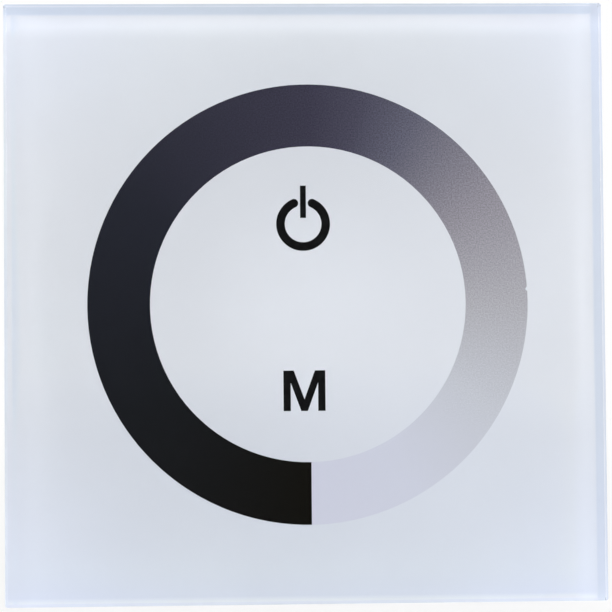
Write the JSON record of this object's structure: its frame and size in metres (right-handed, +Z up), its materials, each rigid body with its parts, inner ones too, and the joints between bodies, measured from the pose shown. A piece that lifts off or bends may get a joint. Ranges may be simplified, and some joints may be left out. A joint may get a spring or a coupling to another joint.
{
  "type": "touch dimmer switch",
  "caption": "Square glass touch panel with a printed dimming ring, on a plate for a wall box, with a tub of electronics and screw terminals behind it.",
  "frame": {"origin": "centre of the mounting plate's face that lies on the wall", "axes": "+X right and +Z up as seen from the room; the glass faces -Y, and the tub goes into the wall along +Y"},
  "size_m": [0.086, 0.036, 0.086],
  "materials": {
    "clear_glass": "polished",
    "white_ink": "smooth",
    "dark_ink": "smooth",
    "clear_adhesive": "soft",
    "foam_tape": "soft foam",
    "white_abs": "fine spark texture",
    "spring_steel": "rolled",
    "white_circuit_board": "satin solder mask",
    "green_circuit_board": "satin solder mask",
    "bare_copper": "etched foil",
    "plated_screw_steel": "nickel plated",
    "plated_clamp_steel": "zinc plated",
    "tinned_brass": "tin plated",
    "tinned_leads": "bright tin",
    "black_mould_compound": "moulded",
    "black_nylon": "moulded",
    "green_polyamide": "moulded",
    "capacitor_can": "drawn can in a dark sleeve",
    "bung_rubber": "moulded",
    "ferrite": "pressed",
    "white_ceramic": "fired",
    "tan_ceramic": "fired"
  },
  "bodies": {
    "base": {"capacitor_bungs": "bung_rubber", "capacitor_leads": "tinned_leads", "chip_resistors": "white_ceramic", "chip_resistors_ends": "tinned_leads", "dimmer_transistors": "black_mould_compound", "diode_leads": "tinned_leads", "fuse": "white_ceramic", "fuse_caps": "tinned_leads", "header_base": "black_nylon", "header_pins": "tinned_brass", "housing_screws": "plated_screw_steel", "inductor": "ferrite", "inductor_terminals": "tinned_leads", "input_capacitor": "capacitor_can", "input_terminal": "green_polyamide", "microcontroller": "black_mould_compound", "microcontroller_pins": "tinned_leads", "mounting_plate": "white_abs", "output_terminal": "green_polyamide", "polarity_diode": "black_mould_compound", "power_board": "green_circuit_board", "power_board_screws": "plated_screw_steel", "rear_housing": "white_abs", "regulator": "black_mould_compound", "regulator_pins": "tinned_leads", "smoothing_capacitor": "capacitor_can", "terminal_contacts": "tinned_brass", "transistor_leads": "tinned_leads", "transistor_tabs": "tinned_leads"},
    "front_panel": {"glass_panel": "clear_glass", "white_backing": "white_ink", "dimming_ring": "dark_ink", "power_mark": "dark_ink", "mode_mark": "dark_ink", "sensor_tape": "clear_adhesive", "frame_tape": "foam_tape", "front_frame": "white_abs", "retaining_clips": "spring_steel", "touch_board": "white_circuit_board", "ring_electrodes": "bare_copper", "key_electrodes": "bare_copper", "touch_board_screws": "plated_screw_steel", "touch_controller": "black_mould_compound", "touch_controller_pins": "tinned_leads", "touch_capacitors": "tan_ceramic", "touch_capacitors_ends": "tinned_leads", "board_socket": "black_nylon", "socket_contacts": "tinned_brass"},
    "screw_1": {"terminal_screw_1": "plated_screw_steel"},
    "clamp_1": {"terminal_clamp_1": "plated_clamp_steel"},
    "screw_2": {"terminal_screw_2": "plated_screw_steel"},
    "clamp_2": {"terminal_clamp_2": "plated_clamp_steel"},
    "screw_3": {"terminal_screw_3": "plated_screw_steel"},
    "clamp_3": {"terminal_clamp_3": "plated_clamp_steel"},
    "screw_4": {"terminal_screw_4": "plated_screw_steel"},
    "clamp_4": {"terminal_clamp_4": "plated_clamp_steel"}
  },
  "joints": [
    {"name": "panel_pull_off", "type": "slide", "parent": "base", "child": "front_panel", "axis": [0, -1, 0], "range_m": [0, 0.025], "deforming": ["retaining_clips"]},
    {"name": "screw_turn_1", "type": "hinge", "parent": "base", "child": "screw_1", "pos_m": [-0.01154, 0.022, -0.0168], "axis": [0, -1, 0], "range_deg": [0, 1800]},
    {"name": "clamp_rise_1", "type": "slide", "parent": "base", "child": "clamp_1", "axis": [0, 1, 0], "range_m": [0, 0.0025]},
    {"name": "screw_turn_2", "type": "hinge", "parent": "base", "child": "screw_2", "pos_m": [-0.00646, 0.022, -0.0168], "axis": [0, -1, 0], "range_deg": [0, 1800]},
    {"name": "clamp_rise_2", "type": "slide", "parent": "base", "child": "clamp_2", "axis": [0, 1, 0], "range_m": [0, 0.0025]},
    {"name": "screw_turn_3", "type": "hinge", "parent": "base", "child": "screw_3", "pos_m": [0.00646, 0.022, -0.0168], "axis": [0, -1, 0], "range_deg": [0, 1800]},
    {"name": "clamp_rise_3", "type": "slide", "parent": "base", "child": "clamp_3", "axis": [0, 1, 0], "range_m": [0, 0.0025]},
    {"name": "screw_turn_4", "type": "hinge", "parent": "base", "child": "screw_4", "pos_m": [0.01154, 0.022, -0.0168], "axis": [0, -1, 0], "range_deg": [0, 1800]},
    {"name": "clamp_rise_4", "type": "slide", "parent": "base", "child": "clamp_4", "axis": [0, 1, 0], "range_m": [0, 0.0025]}
  ],
  "couplings": [
    {"joint": "screw_turn_1", "follows": "clamp_rise_1", "rad_per_m": 12566},
    {"joint": "screw_turn_2", "follows": "clamp_rise_2", "rad_per_m": 12566},
    {"joint": "screw_turn_3", "follows": "clamp_rise_3", "rad_per_m": 12566},
    {"joint": "screw_turn_4", "follows": "clamp_rise_4", "rad_per_m": 12566}
  ]
}
